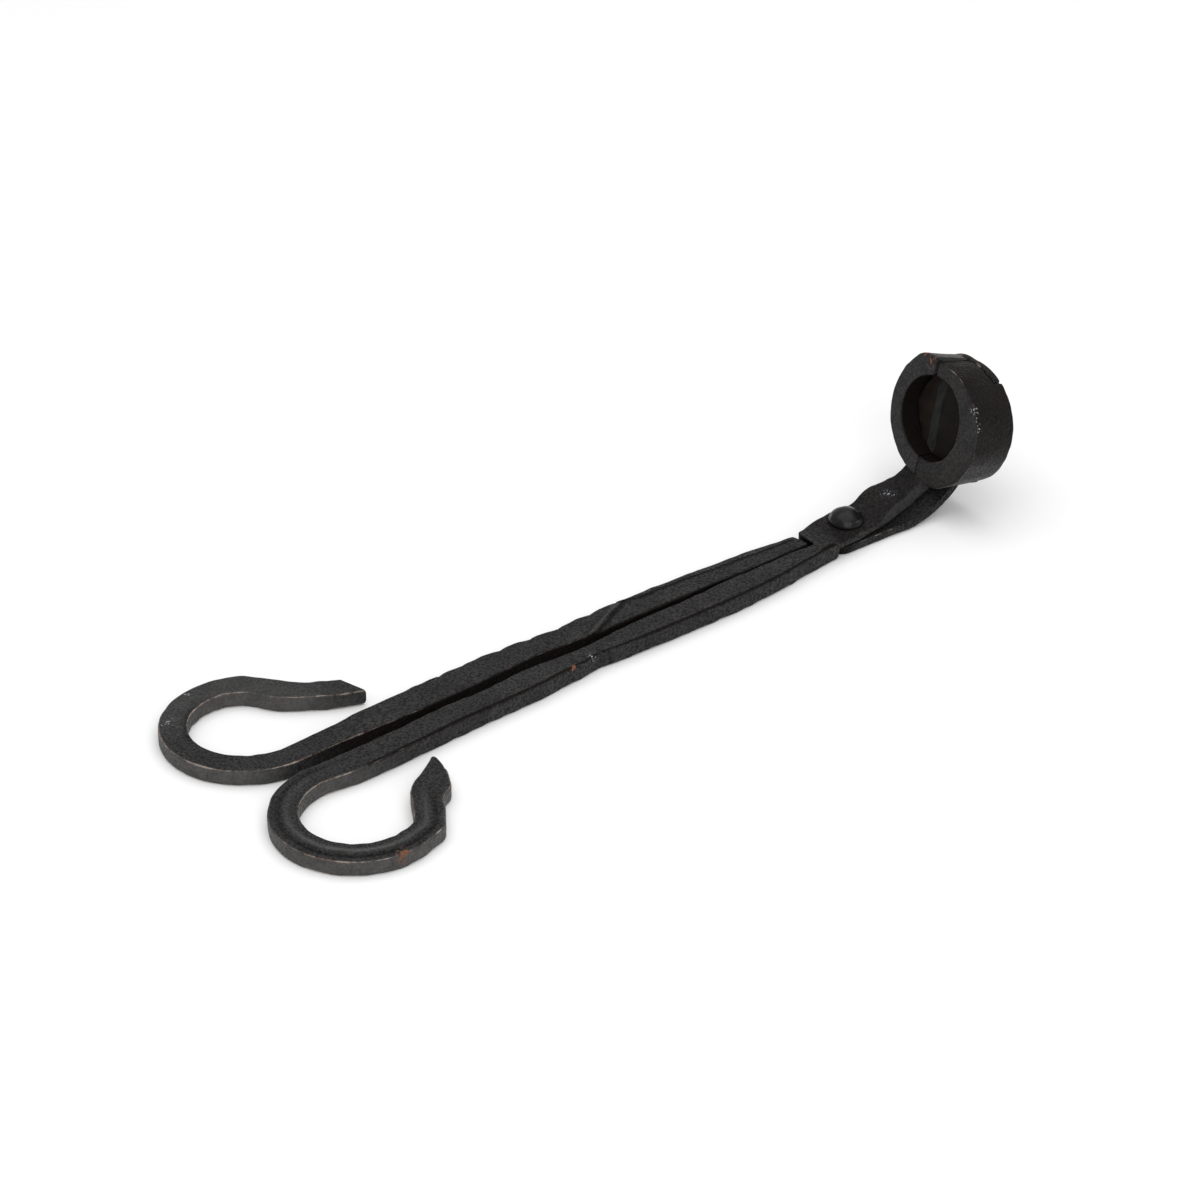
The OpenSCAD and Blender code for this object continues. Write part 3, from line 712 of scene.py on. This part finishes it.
def blade_steel(name, dull, brown, seed):
    """Thin carbon steel plate with a skin of brown rust, ground to dull grey on the bevel. The
    grinding leaves fine lines along the edge, drawn at 0.3 mm so that they show."""
    material = bpy.data.materials.new(name)
    material.use_nodes = True
    tree = material.node_tree
    tree.nodes.clear()
    place = add(tree, "TexCoord")["Object"]
    stretch = add(tree, "Mapping", {"Vector": place, "Scale": (1.0, 3.0, 0.5)})[0]
    # rust in patches of 3.3 mm
    patch = add(tree, "TexNoise", {"Vector": place, "W": seed, "Scale": 300.0, "Detail": 6.0},
                noise_dimensions="4D")["Fac"]
    lines = add(tree, "TexNoise", {"Vector": stretch, "W": seed + 1, "Scale": 900.0,
                                   "Detail": 4.0}, noise_dimensions="4D")["Fac"]
    rusty = add(tree, "ValToRGB", {"Fac": patch}, [(0.35, dull), (0.6, brown)])["Color"]
    ground = add(tree, "ValToRGB", {"Fac": lines}, [(0.3, "#1a1a1a"), (0.7, "#363635")])["Color"]
    where = add(tree, "Attribute", attribute_name="wear")["Fac"]
    colour = add(tree, "Mix", {0: where, 6: rusty, 7: ground}, data_type="RGBA")[2]
    rough = add(tree, "ValToRGB", {"Fac": lines}, [(0.3, 0.55), (0.7, 0.75)])["Color"]
    bump = add(tree, "Bump", {"Height": lines, "Strength": 0.4, "Distance": 0.0001})["Normal"]
    shader = add(tree, "BsdfPrincipled", {"Base Color": colour, "Roughness": rough,
                                          "Specular IOR Level": 0.08, "Normal": bump})["BSDF"]
    add(tree, "OutputMaterial", {"Surface": shader})
    return material


right_blade = blade_skin("right_blade_plate", -1, 3.5, 2.6, True, 81)
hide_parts("right_blade")
# painted shade: the right blade's rust is given darker colours than the left one's, as it lies in
# the cup's shade
right_blade.data.materials.append(blade_steel(
    "ground_blade_steel_right", "#100f0f", "#181310", 81.0))
left_blade = blade_skin("left_blade_plate", 1, 4.95, 2.6, False, 91)
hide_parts("left_blade")
left_blade.data.materials.append(blade_steel(
    "rusted_blade_steel_left", "#181513", "#261f1b", 91.0))

# ------------------------------------------------------------------------------ back plate
# A round plate welded over the back of the left half. It shuts the cup, so that the cut wick
# stays in; its rim follows the rings' outlines, and its back is hammered.


def lid(count):
    """A disc cut off along a chord: rings grow from the middle to the rim over the front face,
    go round the rim's two soft corners, and shrink again over the back. Every ring is scaled to
    the rings' outline at its angle, blended from right to left, and keeps the chord."""
    front, thick, chord, soft = 9.36, 2.15, -8.4, 0.5
    angle = np.linspace(0, 2 * math.pi, count, endpoint=False)
    right_side = outside_at(-1, np.arcsin(np.sin(angle)), 10.5) + 0.05
    left_side = outside_at(1, np.arcsin(np.sin(angle)), 9.6)
    shape = right_side + (left_side - right_side) * step_between(np.cos(angle), -0.02, 0.2)
    shape = shape / CUP_R
    flat_r = CUP_R - soft
    quarter = np.linspace(0, math.pi / 2, 5)
    grow, shrink = np.linspace(0.03, 1, 14)[:-1], np.linspace(1, 0.03, 14)[1:]
    radius = np.concatenate([grow * flat_r, flat_r + soft * np.sin(quarter),
                             flat_r + soft * np.cos(quarter), shrink * flat_r])
    depth = np.concatenate([0 * grow, soft * (1 - np.cos(quarter)),
                            thick - soft + soft * np.sin(quarter), 0 * shrink + thick])
    y = radius[:, None] * np.cos(angle) * shape
    z = radius[:, None] * np.sin(angle) * shape
    inset = np.maximum(soft - np.minimum(depth, thick - depth), 0)[:, None]
    y = np.maximum(y, chord - CENTRE_Y + inset * 0.6)
    points = np.stack([front + np.broadcast_to(depth[:, None], y.shape), y + CENTRE_Y, z], -1)
    blow = 0.1 * lumps(points, 6.0, 101) + 0.04 * lumps(points, 2.0, 102)
    points[..., 0] += np.where(depth[:, None] > thick / 2, blow - 0.12, 0)
    wear = (radius > CUP_R - 0.45)[:, None] * (0.3 + 0.5 * lumps(points, 3.0, 103))
    return points, wear


lid_points, lid_wear = lid(220)
back_plate = skin("back_plate_forging", in_cup(lid_points), lid_wear, 0.3,
                  "upper_half")
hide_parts("back_plate")
back_plate.data.materials.append(blackened_iron(
    "waxed_wrought_iron_back_plate", "#1d1c1d", "#292727", "#5a3527", seed=100.0))

# ------------------------------------------------------------------------------ studio
# White paper under a wide soft lamp, with a weaker one on the camera's side. The camera looks
# down from the handle end, on the right, through a long lens.

floor_mesh = bpy.data.meshes.new("floor")
half = 6.0
floor_mesh.from_pydata([(-half, -half, 0), (half, -half, 0), (half, half, 0), (-half, half, 0)],
                       [], [(0, 1, 2, 3)])
floor = bpy.data.objects.new("floor", floor_mesh)
bpy.context.scene.collection.objects.link(floor)
# matt uncoated paper: rough enough to show no reflection of the tool
paper = bpy.data.materials.new("white_paper_sweep")
paper.use_nodes = True
paper_shader = paper.node_tree.nodes["Principled BSDF"]
paper_shader.inputs["Base Color"].default_value = linear("#fafafa")
paper_shader.inputs["Roughness"].default_value = 0.9
floor_mesh.materials.append(paper)

world = bpy.data.worlds.new("studio")
bpy.context.scene.world = world
world.use_nodes = True
background = world.node_tree.nodes["Background"]
background.inputs["Color"].default_value = (1, 1, 1, 1)
background.inputs["Strength"].default_value = 0.6


def softbox(name, place, aim, size, power):
    """A square soft light, turned so that its -z axis points from its place to its aim."""
    data = bpy.data.lights.new(name, "AREA")
    data.size = size
    data.energy = power
    lamp = bpy.data.objects.new(name, data)
    lamp.location = place
    lamp.rotation_euler = (Vector(aim) - Vector(place)).to_track_quat("-Z", "Y").to_euler()
    bpy.context.scene.collection.objects.link(lamp)


middle = (-0.06, 0.0, 0.0)
softbox("overhead", (-0.05, 0.05, 1.0), middle, 1.3, 6.0)
softbox("front_fill", (-0.5, -0.9, 0.6), middle, 0.8, 4.5)

camera_data = bpy.data.cameras.new("camera")
camera = bpy.data.objects.new("camera", camera_data)
bpy.context.scene.collection.objects.link(camera)
bpy.context.scene.camera = camera
azimuth, elevation, distance = math.radians(-38.95), math.radians(32.10), 0.96773
target = Vector((-0.05667, 0.01343, 0.0))
towards = Vector((math.sin(azimuth) * math.cos(elevation),
                  -math.cos(azimuth) * math.cos(elevation), math.sin(elevation)))
camera.location = target + towards * distance
camera.rotation_euler = (-towards).to_track_quat("-Z", "Y").to_euler()
camera_data.sensor_width = 36.0
camera_data.lens = 138.68
camera_data.clip_end = 20.0
bpy.context.scene.view_settings.view_transform = "Standard"
